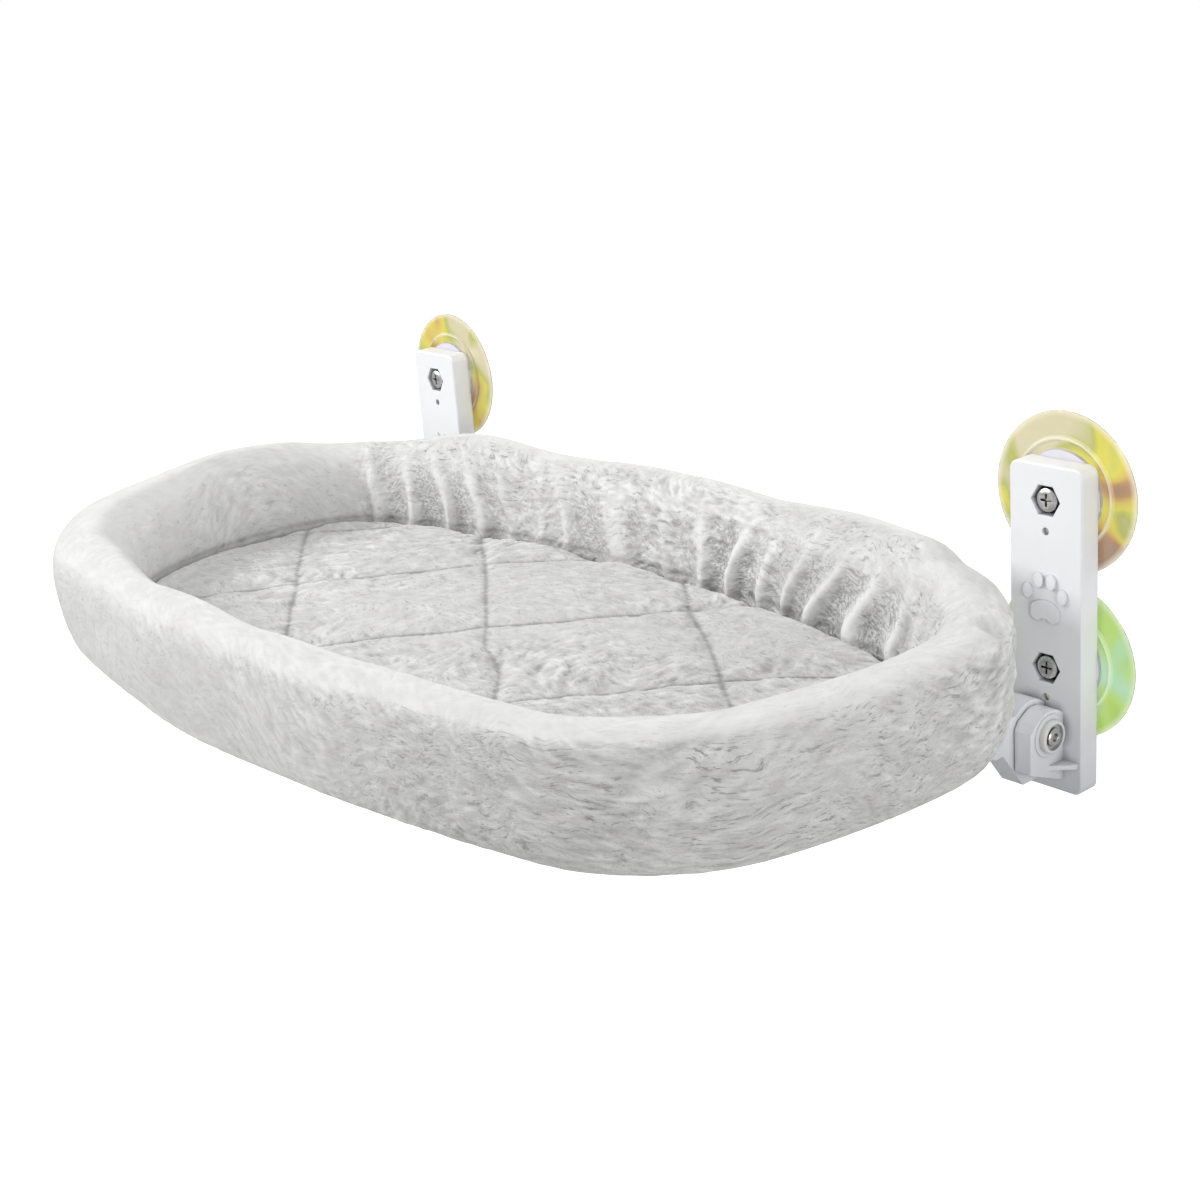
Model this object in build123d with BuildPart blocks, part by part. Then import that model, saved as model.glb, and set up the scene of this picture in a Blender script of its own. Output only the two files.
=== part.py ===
"""Window-mounted pet perch: a plush oval bed on a steel frame, hung from two suction-cup uprights.

Millimetres. X runs along the window, +Y points at the glass, +Z is up.
The origin lies on the glass, midway between the four suction cups.
"""
import os
from math import atan2, cos, degrees, hypot, radians, sin, sqrt

from build123d import *

os.makedirs("parts", exist_ok=True)

# Suction cups and the two uprights
upright_spacing = 484.0
cup_pitch = 84.0
cup_radius = 40.0
upright_width = 42.0
upright_height = 164.0
upright_top = 59.5
upright_corner = 5.0
front_depth = 16.0
back_depth = 4.0
front_wall = 2.8
side_wall = 2.5
rib_wall = 1.8

# Hinge at the foot of each upright, and the arm that turns in it
pivot_depth = 27.0
pivot_height = -71.0
pivot_bolt_radius = 3.0
knuckle_radius = 15.6
knuckle_inner = -13.6
knuckle_outer = -0.8
cheek_outer_face = 10.0
boss_face = 10.6
boss_radius = 10.8
running_gap = 0.05

# Steel frame under the bed
tube_radius = 6.0
tube_wall = 1.0
tube_height = -68.0
leg_offset = -7.2
front_run_depth = 250.0
frame_bend = 90.0
rear_run_depth = 58.0
socket_radius = 7.6
socket_gap = 0.05

# Oval of the bed's padded rim, measured along the middle of the roll
rim_half_length = 269.4
rim_middle_depth = 134.8
rim_rear_depth = 31.0
rim_front_depth = 306.5
rear_corner = 78.0
front_corner = 90.0
front_sweep_radius = 900.0
end_sweep_radius = 340.0
rim_bottom = -57.0
inner_wall = 16.5

# Base board and floor pad
board_bottom = -60.4
board_thickness = 3.2
board_inset = 8.0
pad_inset = 18.4
pad_thickness = 30.0
quilt_pitch = 108.0
quilt_angle = -36.0

half_spacing = upright_spacing / 2
bolt_heights = (cup_pitch / 2, -cup_pitch / 2)
upright_middle = upright_top - upright_height / 2
cup_places = [(half_spacing, height) for height in bolt_heights]
all_cup_places = [(side * half_spacing, height) for side in (1, -1) for height in bolt_heights]
leg_x = half_spacing + leg_offset


def glass_plane(depth):
    """A plane parallel to the glass, that far in front of it, facing the room."""
    return Plane.XZ.offset(depth)


def side_plane(offset):
    """A plane across the right-hand upright, that far outward of its middle, facing outward."""
    return Plane.YZ.offset(half_spacing + offset)


def save(piece, name):
    piece.part.label = name
    export_step(piece.part, f"parts/{name}.step")


def mirrored(piece):
    """The left-hand twin of a right-hand piece."""
    with BuildPart() as twin:
        mirror(piece.part, about=Plane.YZ)
    return twin


# Upright: an open-backed moulding with ribs, screw bosses and the fork of the hinge
hollow_width = upright_width - 2 * side_wall
hollow_height = upright_height - 2 * side_wall
hollow_depth = front_depth - front_wall
screw_seat_depth = 9.9
screw_boss_radius = 9.6
screw_boss_depth = 6.4
hex_across_flats = 14.5
dimple_drop = 15.0
dimple_radius = 1.9
slot_top = -59.4
slot_bottom = -82.6
slot_inner = -14.1
slot_outer = -0.3
fork_root = 14.5
fork_front = 40.0
fork_brow = -65.5
fork_chin = -88.0
fork_foot = -98.5
web_height = -89.5
edge_break = 0.8
inner_cheek_in = -20.0
inner_cheek_out = -14.1
nut_across_flats = 10.0
nut_pocket = 4.0
paw_relief = 1.2
rib_heights = (14.0, -14.0, -56.0, -96.0)

with BuildPart() as upright_shell:
    with BuildSketch(glass_plane(back_depth)):
        with Locations((half_spacing, upright_middle)):
            RectangleRounded(upright_width, upright_height, upright_corner)
    extrude(amount=front_depth - back_depth)
    chamfer(upright_shell.faces().sort_by(Axis.Y)[0].edges(), length=edge_break)
    with BuildSketch(glass_plane(back_depth)):
        with Locations((half_spacing, upright_middle)):
            RectangleRounded(hollow_width, hollow_height, upright_corner - side_wall)
    extrude(amount=hollow_depth - back_depth, mode=Mode.SUBTRACT)
    # Cross ribs, one long rib above the hinge, and the screw bosses, all behind the front wall
    with BuildSketch(glass_plane(back_depth + 1.5)):
        for height in rib_heights:
            with Locations((half_spacing, height)):
                Rectangle(hollow_width + 1, rib_wall)
        with Locations((half_spacing, (upright_top + slot_top) / 2)):
            Rectangle(rib_wall, upright_top - slot_top - 2 * side_wall)
    extrude(amount=hollow_depth - back_depth - 1.0)
    with BuildSketch(glass_plane(back_depth)):
        with Locations(*cup_places):
            Circle(screw_boss_radius)
    extrude(amount=screw_boss_depth - back_depth, mode=Mode.SUBTRACT)
    with BuildSketch(glass_plane(screw_boss_depth)):
        with Locations(*cup_places):
            Circle(screw_boss_radius)
    extrude(amount=front_depth - 1 - screw_boss_depth)
    with BuildSketch(glass_plane(screw_seat_depth)):
        with Locations(*cup_places):
            RegularPolygon(hex_across_flats / 2, 6, major_radius=False)
    extrude(amount=front_depth - screw_seat_depth, mode=Mode.SUBTRACT)
    with BuildSketch(glass_plane(0)):
        with Locations(*cup_places):
            Circle(pivot_bolt_radius + 0.1)
        for height in bolt_heights:
            with Locations((half_spacing, height - dimple_drop)):
                Circle(dimple_radius)
    extrude(amount=front_depth, mode=Mode.SUBTRACT)
    # Slot that lets the arm's knuckle turn through the front wall
    with BuildSketch(glass_plane(back_depth)):
        with Locations((half_spacing + (slot_inner + slot_outer) / 2, (slot_top + slot_bottom) / 2)):
            Rectangle(slot_outer - slot_inner, slot_top - slot_bottom)
    extrude(amount=front_depth - back_depth, mode=Mode.SUBTRACT)

# Outer cheek of the fork: round over the bolt, sloping to a square front, with a foot on the upright
brow_rise = 12.5
brow_fall = 7.0
cheek_break = 1.0
with BuildPart() as outer_cheek:
    with BuildSketch(side_plane(slot_outer)):
        with BuildLine():
            Line((-fork_root, fork_foot), (-fork_root, pivot_height + brow_fall))
            ThreePointArc(
                (-fork_root, pivot_height + brow_fall),
                (-pivot_depth + 5.0, pivot_height + brow_rise - 0.6),
                (-pivot_depth - 3.0, pivot_height + brow_rise - 0.4),
            )
            Polyline(
                (-pivot_depth - 3.0, pivot_height + brow_rise - 0.4),
                (-fork_front + 2.5, fork_brow + 2.5),
                (-fork_front, fork_brow - 1.5),
                (-fork_front, fork_chin),
                (-fork_root, fork_foot),
            )
        make_face()
    extrude(amount=cheek_outer_face - slot_outer)
    front_corner_edge = outer_cheek.edges().filter_by(Axis.Z).group_by(Axis.Y)[0].sort_by(Axis.X)[-1]
    chamfer(front_corner_edge, length=cheek_break)
    with BuildSketch(side_plane(slot_outer)):
        with Locations((-pivot_depth, pivot_height)):
            Circle(boss_radius)
    extrude(amount=boss_face - slot_outer)
    # Level web that ties the cheek's foot to the upright
    with BuildSketch(Plane.XY.offset(web_height)):
        with BuildLine():
            Polyline(
                (half_spacing + cheek_outer_face - 2, -fork_root),
                (half_spacing + cheek_outer_face - 2, -fork_root - 12.5),
                (half_spacing + cheek_outer_face, -fork_root - 12.5),
                (half_spacing + 19.0, -front_depth - 2.0),
                (half_spacing + 19.0, -fork_root),
                close=True,
            )
        make_face()
    extrude(amount=2.6)
    with BuildSketch(side_plane(slot_outer)):
        with Locations((-pivot_depth, pivot_height)):
            Circle(pivot_bolt_radius + 0.02)
    extrude(amount=boss_face - slot_outer, mode=Mode.SUBTRACT)

# Inner cheek: a rounded ear with a pocket for the nut
with BuildPart() as inner_cheek:
    with BuildSketch(side_plane(inner_cheek_in)):
        with BuildLine():
            FilletPolyline(
                (-fork_root, pivot_height + brow_rise - 2.0),
                (-fork_front + 4, pivot_height + brow_rise - 2.0),
                (-fork_front + 4, fork_chin),
                (-fork_root, fork_foot),
                radius=(11.0, 7.0),
            )
            Line((-fork_root, fork_foot), (-fork_root, pivot_height + brow_rise - 2.0))
        make_face()
    extrude(amount=inner_cheek_out - inner_cheek_in)
    with BuildSketch(side_plane(inner_cheek_in)):
        with Locations((-pivot_depth, pivot_height)):
            Circle(pivot_bolt_radius + 0.02)
    extrude(amount=inner_cheek_out - inner_cheek_in, mode=Mode.SUBTRACT)
    with BuildSketch(side_plane(inner_cheek_in)):
        with Locations((-pivot_depth, pivot_height)):
            RegularPolygon(nut_across_flats / 2 + 0.1, 6, major_radius=False)
    extrude(amount=nut_pocket, mode=Mode.SUBTRACT)

# Paw ornament: four toes and a pad, raised on the front between the two screws
toe_places = ((-10.0, -4.0), (-3.6, 2.4), (3.6, 2.4), (10.0, -4.0))
with BuildPart() as paw:
    with BuildSketch(glass_plane(front_depth - 0.5)):
        for toe_x, toe_z in toe_places:
            with Locations((half_spacing + toe_x, toe_z)):
                Ellipse(2.7, 3.9)
        with Locations((half_spacing, -12.0)):
            Ellipse(8.0, 4.6)
        with Locations((half_spacing - 4.6, -14.6), (half_spacing + 4.6, -14.6)):
            Circle(3.6)
    extrude(amount=0.5 + paw_relief)

with BuildPart() as right_upright:
    add(upright_shell.part)
    add(outer_cheek.part)
    add(inner_cheek.part)
    add(paw.part)

save(right_upright, "right_upright")
left_upright = mirrored(right_upright)
save(left_upright, "left_upright")

# Suction cup, pressed flat on the glass: thin skirt, moulded ring, thick hub and insert boss
hub_radius = 22.4
ring_radius = 27.0
insert_radius = 5.0
insert_length = 4.4
shaft_hole = pivot_bolt_radius + 0.02

with BuildPart() as cup:
    with BuildSketch(Plane.XY):
        with BuildLine():
            Polyline(
                (0.0, 1.5),
                (20.0, 1.2),
                (36.5, 0.0),
                (cup_radius, 0.0),
                (cup_radius, 0.8),
                (ring_radius + 1.6, 1.9),
            )
            Polyline(
                (ring_radius + 1.6, 1.9),
                (ring_radius, 3.2),
                (ring_radius - 1.6, 2.2),
            )
            Polyline(
                (ring_radius - 1.6, 2.2),
                (hub_radius, 2.5),
                (hub_radius - 0.6, back_depth),
                (insert_radius + 4.0, back_depth),
                (insert_radius + 3.0, screw_boss_depth),
                (0.0, screw_boss_depth),
                (0.0, 1.5),
            )
        make_face()
    revolve(axis=Axis.Y)
    with BuildSketch(Plane.XZ.offset(-(screw_boss_depth - insert_length))):
        Circle(insert_radius)
    extrude(amount=-insert_length, mode=Mode.SUBTRACT)

cup_names = ("upper_right_cup", "lower_right_cup", "upper_left_cup", "lower_left_cup")
for cup_name, (cup_x, cup_z) in zip(cup_names, all_cup_places):
    with BuildPart() as placed_cup:
        with Locations(Location((cup_x, 0, cup_z), (180, 0, 0))):
            add(cup.part)
    save(placed_cup, cup_name)

# Brass inserts moulded into the hubs
with BuildPart() as cup_inserts:
    with BuildSketch(glass_plane(screw_boss_depth - insert_length)):
        with Locations(*all_cup_places):
            RegularPolygon(insert_radius, 8)
            Circle(pivot_bolt_radius, mode=Mode.SUBTRACT)
    extrude(amount=insert_length)
save(cup_inserts, "cup_inserts")

# Pan-head screws, each on a hexagon washer, that pull the cups against the uprights
head_radius = 5.7
head_height = 4.2
head_round = 1.5
hex_washer_height = 1.5
head_seat_depth = screw_seat_depth + hex_washer_height
screw_tip_depth = screw_boss_depth - insert_length + 0.5

with BuildPart() as cup_screw:
    with BuildSketch(glass_plane(screw_tip_depth)):
        Circle(pivot_bolt_radius)
    extrude(amount=head_seat_depth - screw_tip_depth)
    with BuildSketch(glass_plane(head_seat_depth)):
        Circle(head_radius)
    extrude(amount=head_height)
    chamfer(cup_screw.faces().sort_by(Axis.Y)[0].edges(), length=head_round / 2, length2=head_round)
    with BuildSketch(glass_plane(head_seat_depth + head_height)):
        Rectangle(6.4, 1.2)
        Rectangle(1.2, 6.4)
    extrude(amount=-1.7, mode=Mode.SUBTRACT)

with BuildPart() as screw_washers:
    with BuildSketch(glass_plane(screw_seat_depth)):
        with Locations(*all_cup_places):
            RegularPolygon(hex_across_flats / 2 - 0.1, 6, major_radius=False)
            Circle(shaft_hole, mode=Mode.SUBTRACT)
    extrude(amount=hex_washer_height)
save(screw_washers, "screw_washers")

with BuildPart() as cup_screws:
    with Locations(*[(x, 0, z) for x, z in all_cup_places]):
        add(cup_screw.part)
save(cup_screws, "cup_screws")

# Arm: round knuckle with a heel that bears on the upright, and sockets for the two tubes
heel_face = front_depth + 0.1
arm_top = tube_height + 8.0
arm_bottom = tube_height - 10.0
socket_mouth = 72.0
side_socket_end = 208.0
screw_hole = 1.55

with BuildPart() as right_arm:
    with BuildSketch(side_plane(knuckle_inner)):
        with Locations((-pivot_depth, pivot_height)):
            Circle(knuckle_radius)
        with BuildLine():
            Polyline(
                (-pivot_depth, arm_top),
                (-54.0, arm_top),
                (-57.0, arm_top - 2.0),
                (-57.0, arm_bottom + 2.0),
                (-54.0, arm_bottom),
                (-48.0, arm_bottom),
                (-33.0, fork_foot + 0.5),
                (-heel_face, fork_foot + 0.5),
                (-heel_face, slot_bottom - 0.4),
                (-pivot_depth, slot_bottom - 0.4),
                close=True,
            )
        make_face()
    extrude(amount=knuckle_outer - knuckle_inner)
    with BuildSketch(glass_plane(49.0)):
        with Locations((leg_x, tube_height)):
            Circle(socket_radius)
    extrude(amount=socket_mouth - 49.0)
    with BuildSketch(Plane.YZ.offset(side_socket_end)):
        with Locations((-rear_run_depth, tube_height)):
            Circle(socket_radius)
    extrude(amount=leg_x - side_socket_end)
    # Bores for the leg tube and the rear tube
    with BuildSketch(glass_plane(53.0)):
        with Locations((leg_x, tube_height)):
            Circle(tube_radius + socket_gap)
    extrude(amount=socket_mouth - 53.0, mode=Mode.SUBTRACT)
    with BuildSketch(Plane.YZ.offset(side_socket_end)):
        with Locations((-rear_run_depth, tube_height)):
            Circle(tube_radius + socket_gap)
    extrude(amount=18.0, mode=Mode.SUBTRACT)
    # Pivot bore, and the holes of the two retaining screws
    with BuildSketch(side_plane(knuckle_inner)):
        with Locations((-pivot_depth, pivot_height)):
            Circle(pivot_bolt_radius + running_gap)
    extrude(amount=knuckle_outer - knuckle_inner, mode=Mode.SUBTRACT)
    with BuildSketch(Plane.XY.offset(tube_height - 12.0)):
        with Locations((leg_x, -66.0), (214.0, -rear_run_depth)):
            Circle(screw_hole)
    extrude(amount=12.0, mode=Mode.SUBTRACT)
save(right_arm, "right_arm")
left_arm = mirrored(right_arm)
save(left_arm, "left_arm")

# Pivot bolt, its cup washer and its nut
washer_radius = 8.2
washer_wall = 1.7
washer_floor = 1.2
washer_height = 3.2
washer_edge = 0.5
bolt_head_radius = 4.6
bolt_head_height = 2.2
bolt_socket = 4.0
bolt_tip = inner_cheek_in - 1.6
nut_height = 5.0

with BuildPart() as right_pivot_bolt:
    with BuildSketch(side_plane(bolt_tip)):
        with Locations((-pivot_depth, pivot_height)):
            Circle(pivot_bolt_radius)
    extrude(amount=boss_face + washer_floor - bolt_tip)
    with BuildSketch(side_plane(boss_face + washer_floor)):
        with Locations((-pivot_depth, pivot_height)):
            Circle(bolt_head_radius)
    extrude(amount=bolt_head_height)
    chamfer(right_pivot_bolt.faces().sort_by(Axis.X)[-1].edges(), length=washer_edge)
    with BuildSketch(side_plane(boss_face + washer_floor + bolt_head_height)):
        with Locations((-pivot_depth, pivot_height)):
            RegularPolygon(bolt_socket / 2, 6, major_radius=False)
    extrude(amount=-1.6, mode=Mode.SUBTRACT)
save(right_pivot_bolt, "right_pivot_bolt")
left_pivot_bolt = mirrored(right_pivot_bolt)
save(left_pivot_bolt, "left_pivot_bolt")

with BuildPart() as right_washer:
    with BuildSketch(side_plane(boss_face)):
        with Locations((-pivot_depth, pivot_height)):
            Circle(washer_radius)
    extrude(amount=washer_height)
    with BuildSketch(side_plane(boss_face + washer_floor)):
        with Locations((-pivot_depth, pivot_height)):
            Circle(washer_radius - washer_wall)
    extrude(amount=washer_height - washer_floor, mode=Mode.SUBTRACT)
    chamfer(right_washer.faces().sort_by(Axis.X)[-1].edges().sort_by(SortBy.LENGTH)[-1], length=washer_edge)
    with BuildSketch(side_plane(boss_face)):
        with Locations((-pivot_depth, pivot_height)):
            Circle(shaft_hole)
    extrude(amount=washer_floor, mode=Mode.SUBTRACT)
save(right_washer, "right_pivot_washer")
save(mirrored(right_washer), "left_pivot_washer")

with BuildPart() as right_nut:
    with BuildSketch(side_plane(inner_cheek_in + nut_pocket)):
        with Locations((-pivot_depth, pivot_height)):
            RegularPolygon(nut_across_flats / 2, 6, major_radius=False)
            Circle(shaft_hole, mode=Mode.SUBTRACT)
    extrude(amount=-nut_height)
with BuildPart() as pivot_nuts:
    add(right_nut.part)
    mirror(right_nut.part, about=Plane.YZ)
save(pivot_nuts, "pivot_nuts")

# Steel frame: two bent legs that meet at the front, a spigot inside the joint, and the rear tube
tube_bore = tube_radius - tube_wall
tube_back = 53.2
rear_tube_half = side_socket_end + 17.8
joint_gap = 0.15

with BuildPart() as right_leg_tube:
    with BuildLine() as leg_line:
        FilletPolyline(
            (leg_x, -tube_back, tube_height),
            (leg_x, -front_run_depth, tube_height),
            (joint_gap, -front_run_depth, tube_height),
            radius=frame_bend,
        )
    with BuildSketch(glass_plane(tube_back)):
        with Locations((leg_x, tube_height)):
            Circle(tube_radius)
            Circle(tube_bore, mode=Mode.SUBTRACT)
    sweep(path=leg_line.line)
    with BuildSketch(Plane.XY.offset(tube_height - tube_radius)):
        with Locations((leg_x, -66.0)):
            Circle(screw_hole)
    extrude(amount=tube_radius, mode=Mode.SUBTRACT)
save(right_leg_tube, "right_leg_tube")
left_leg_tube = mirrored(right_leg_tube)
save(left_leg_tube, "left_leg_tube")

with BuildPart() as rear_tube:
    with BuildSketch(Plane.YZ.offset(-rear_tube_half)):
        with Locations((-rear_run_depth, tube_height)):
            Circle(tube_radius)
            Circle(tube_bore, mode=Mode.SUBTRACT)
    extrude(amount=2 * rear_tube_half)
    with BuildSketch(Plane.XY.offset(tube_height - tube_radius)):
        with Locations((214.0, -rear_run_depth), (-214.0, -rear_run_depth)):
            Circle(screw_hole)
    extrude(amount=tube_radius, mode=Mode.SUBTRACT)
save(rear_tube, "rear_tube")

with BuildPart() as front_spigot:
    with BuildSketch(Plane.YZ.offset(-35.0)):
        with Locations((-front_run_depth, tube_height)):
            Circle(tube_bore - 0.02)
            Circle(tube_bore - 1.2, mode=Mode.SUBTRACT)
    extrude(amount=70.0)
save(front_spigot, "front_spigot")

# Retaining screws under the sockets
frame_screw_places = [(side * x, y) for side in (1, -1) for x, y in ((leg_x, -66.0), (214.0, -rear_run_depth))]
with BuildPart() as frame_screws:
    with BuildSketch(Plane.XY.offset(tube_height - socket_radius)):
        with Locations(*frame_screw_places):
            Circle(screw_hole - 0.05)
    extrude(amount=4.0)
    with BuildSketch(Plane.XY.offset(tube_height - socket_radius)):
        with Locations(*frame_screw_places):
            RegularPolygon(3.1, 6)
    extrude(amount=-1.8)
save(frame_screws, "frame_screws")


def oval_arcs():
    """The rim's oval as tangent arcs, counter-clockwise: (centre x, centre y, radius, start, sweep)."""
    rear_rise = rim_middle_depth - rim_rear_depth
    rear_radius = (rim_half_length**2 + rear_rise**2 - 2 * rim_half_length * rear_corner) / (
        2 * (rear_rise - rear_corner)
    )
    rear_x = rim_half_length - rear_corner
    rear_turn = degrees(atan2(rear_radius - rear_rise, rear_x))
    # The front corner circle touches the long front arc and the end arc from inside
    front_y = -rim_front_depth + front_sweep_radius
    end_x = rim_half_length - end_sweep_radius
    reach_front = front_sweep_radius - front_corner
    reach_end = end_sweep_radius - front_corner
    span = hypot(end_x, front_y + rim_middle_depth)
    along = (reach_end**2 - reach_front**2 + span**2) / (2 * span)
    across = sqrt(reach_end**2 - along**2)
    unit_x = -end_x / span
    unit_y = (front_y + rim_middle_depth) / span
    corner_x = end_x + along * unit_x + across * unit_y
    corner_y = -rim_middle_depth + along * unit_y - across * unit_x
    end_turn = degrees(atan2(-rim_middle_depth - corner_y, corner_x - end_x))
    front_turn = degrees(atan2(front_y - corner_y, corner_x))
    middle = -rim_middle_depth
    return [
        (0.0, -rim_rear_depth - rear_radius, rear_radius, rear_turn, 180 - 2 * rear_turn),
        (-rear_x, middle, rear_corner, 180 - rear_turn, rear_turn),
        (-end_x, middle, end_sweep_radius, 180.0, end_turn),
        (-corner_x, corner_y, front_corner, 180 + end_turn, front_turn - end_turn),
        (0.0, front_y, front_sweep_radius, 180 + front_turn, 180 - 2 * front_turn),
        (corner_x, corner_y, front_corner, 360 - front_turn, front_turn - end_turn),
        (end_x, middle, end_sweep_radius, 360 - end_turn, end_turn),
        (rear_x, middle, rear_corner, 0.0, rear_turn),
    ]


# Base board, cloth-covered, cut to the oval
with BuildPart() as base_board:
    with BuildSketch(Plane.XY.offset(board_bottom)):
        with BuildLine():
            for x, y, radius, start, turn in oval_arcs():
                CenterArc((x, y), radius - board_inset, start, turn)
        make_face()
    extrude(amount=board_thickness)
    chamfer(base_board.edges().group_by(Axis.Z)[-1], length=1.0)
    chamfer(base_board.edges().group_by(Axis.Z)[0], length=1.0)
save(base_board, "base_board")

# Webbing straps: each wraps a tube and is sewn flat to the underside of the board
strap_width = 25.0
strap_thickness = socket_radius - tube_radius
strap_reach = 20.0
leg_strap_places = [(side * leg_x, y) for side in (1, -1) for y in (-95.0, -145.0)]
cross_strap_places = [(x, -front_run_depth) for x in (-95.0, 95.0)] + [(x, -rear_run_depth) for x in (-110.0, 110.0)]

with BuildPart() as frame_straps:
    for x, y in leg_strap_places:
        with BuildSketch(Plane.XZ.offset(-y - strap_width / 2)):
            with Locations((x, tube_height)):
                Circle(socket_radius)
            with Locations((x, board_bottom - strap_thickness / 2)):
                Rectangle(2 * strap_reach, strap_thickness)
            with Locations((x, tube_height)):
                Circle(tube_radius + 0.02, mode=Mode.SUBTRACT)
        extrude(amount=strap_width)
    for x, y in cross_strap_places:
        with BuildSketch(Plane.YZ.offset(x - strap_width / 2)):
            with Locations((y, tube_height)):
                Circle(socket_radius)
            with Locations((y, board_bottom - strap_thickness / 2)):
                Rectangle(2 * strap_reach, strap_thickness)
            with Locations((y, tube_height)):
                Circle(tube_radius + 0.02, mode=Mode.SUBTRACT)
        extrude(amount=strap_width)
save(frame_straps, "frame_straps")

# Padded rim: one round-topped section carried round the oval, leaning outward, drawn in at the foot
gather_pitch = 21.0
gather_count = 18
gather_radius = 6.0

with BuildPart() as bolster:
    for x, y, radius, start, turn in oval_arcs():
        outward = (cos(radians(start)), sin(radians(start)), 0)
        sideways = (sin(radians(start)), -cos(radians(start)), 0)
        with BuildSketch(Plane(origin=(x, y, rim_bottom), x_dir=outward, z_dir=sideways)):
            with BuildLine():
                foot = Line((radius - 12.0, 0), (radius + 8.0, 0))
                outer = ThreePointArc(foot @ 1, (radius + 19.5, 16.0), (radius + 24.0, 55.5))
                crown = TangentArc(outer @ 1, (radius - 12.0, 61.5), tangent=outer % 1)
                ThreePointArc(crown @ 1, (radius - inner_wall, 30.0), foot @ 0)
            make_face()
        revolve(axis=Axis((x, y, 0), (0, 0, 1)), revolution_arc=turn)
    # Gathers down the inner face of the rear wall
    gather_x = [(index - (gather_count - 1) / 2) * gather_pitch for index in range(gather_count)]
    for x in gather_x:
        rear_circle = oval_arcs()[0]
        wall_y = rear_circle[1] + sqrt(rear_circle[2] ** 2 - x**2) - inner_wall
        with Locations(Location((x, wall_y - gather_radius + 2.6, rim_bottom + 30.0), (-6, 0, 0))):
            Cylinder(gather_radius, 62.0, mode=Mode.SUBTRACT)
save(bolster, "bolster")

# Floor pad: crowned from front to back, rounded at the edge, with quilting channels set askew
pad_top = rim_bottom + pad_thickness
crown_rise = 4.0
pad_half_depth = (rim_front_depth - rim_rear_depth) / 2 - pad_inset
pad_centre_depth = (rim_front_depth + rim_rear_depth) / 2
crown_radius = (pad_half_depth**2 + crown_rise**2) / (2 * crown_rise)
channel_radius = 3.0
channel_lift = 0.2

with BuildPart() as floor_pad:
    with BuildSketch(Plane.XY.offset(rim_bottom)):
        with BuildLine():
            for x, y, radius, start, turn in oval_arcs():
                CenterArc((x, y), radius - pad_inset, start, turn)
        make_face()
    extrude(amount=pad_thickness)
    with Locations(Location((0, -pad_centre_depth, pad_top - crown_radius), (0, 90, 0))):
        Cylinder(crown_radius, 3 * rim_half_length, mode=Mode.INTERSECT)
    fillet(floor_pad.faces().sort_by(Axis.Z)[-1].edges(), radius=7.0)
    fillet(floor_pad.faces().sort_by(Axis.Z)[0].edges(), radius=3.0)
    for turn in (quilt_angle, quilt_angle + 90):
        for step in (-2, -1, 0, 1, 2):
            shift_x = -step * quilt_pitch * sin(radians(turn))
            shift_y = step * quilt_pitch * cos(radians(turn)) - pad_centre_depth
            with Locations(Location((shift_x, shift_y, pad_top + channel_lift), (-90, 90 - turn, 0))):
                Cylinder(channel_radius, 3 * rim_half_length, mode=Mode.SUBTRACT)
save(floor_pad, "floor_pad")
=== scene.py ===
"""Looks of the window perch: moulded uprights, tinted suction cups, steel frame and a plush oval bed."""
from math import atan2, cos, degrees, hypot, pi, radians, sin, sqrt

import bpy
import numpy as np
from mathutils import Matrix, Vector


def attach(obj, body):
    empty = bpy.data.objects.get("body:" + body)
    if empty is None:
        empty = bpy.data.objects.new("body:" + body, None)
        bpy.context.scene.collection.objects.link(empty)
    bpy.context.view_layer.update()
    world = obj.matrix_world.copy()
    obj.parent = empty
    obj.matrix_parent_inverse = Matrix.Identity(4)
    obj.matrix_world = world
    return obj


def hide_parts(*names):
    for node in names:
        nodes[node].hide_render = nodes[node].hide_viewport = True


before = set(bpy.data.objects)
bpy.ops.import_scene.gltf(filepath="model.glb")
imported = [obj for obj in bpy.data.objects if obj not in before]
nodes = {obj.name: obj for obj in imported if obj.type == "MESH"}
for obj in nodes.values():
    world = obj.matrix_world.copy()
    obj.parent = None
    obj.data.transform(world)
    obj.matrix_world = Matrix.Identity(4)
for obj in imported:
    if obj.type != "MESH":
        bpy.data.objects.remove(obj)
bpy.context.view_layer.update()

# Sizes in metres, the same as the frame's
half_spacing = 0.242
cup_height = 0.042
rim_half_length = 0.2694
rim_middle_depth = 0.1348
rim_rear_depth = 0.031
rim_front_depth = 0.3065
rear_corner = 0.078
front_corner = 0.090
front_sweep_radius = 0.900
end_sweep_radius = 0.340
rim_bottom = -0.057
pad_inset = 0.0184
pad_thickness = 0.030
quilt_pitch = 0.108
quilt_angle = radians(-36)

# Net of points of the rim, round the oval and over the roll, and of the pad's outline
rim_around = 1440
rim_over = 192
pad_points = 160
pad_cell = 0.0013

# Section of the rim in millimetres: from the inside of the foot, up the inner wall, over the crest and down
soft_section = (
    (-12.5, 3.0), (-15.0, 12.0), (-16.4, 25.5), (-15.8, 39.0), (-13.4, 51.8), (-8.6, 63.0), (-0.5, 69.6),
    (9.0, 70.8), (17.8, 67.6), (22.8, 60.0), (24.2, 49.0), (23.4, 33.0), (20.8, 18.5), (16.0, 8.0),
    (8.0, 1.2), (-2.0, 0.4), (-8.5, 0.7),
)
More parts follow.
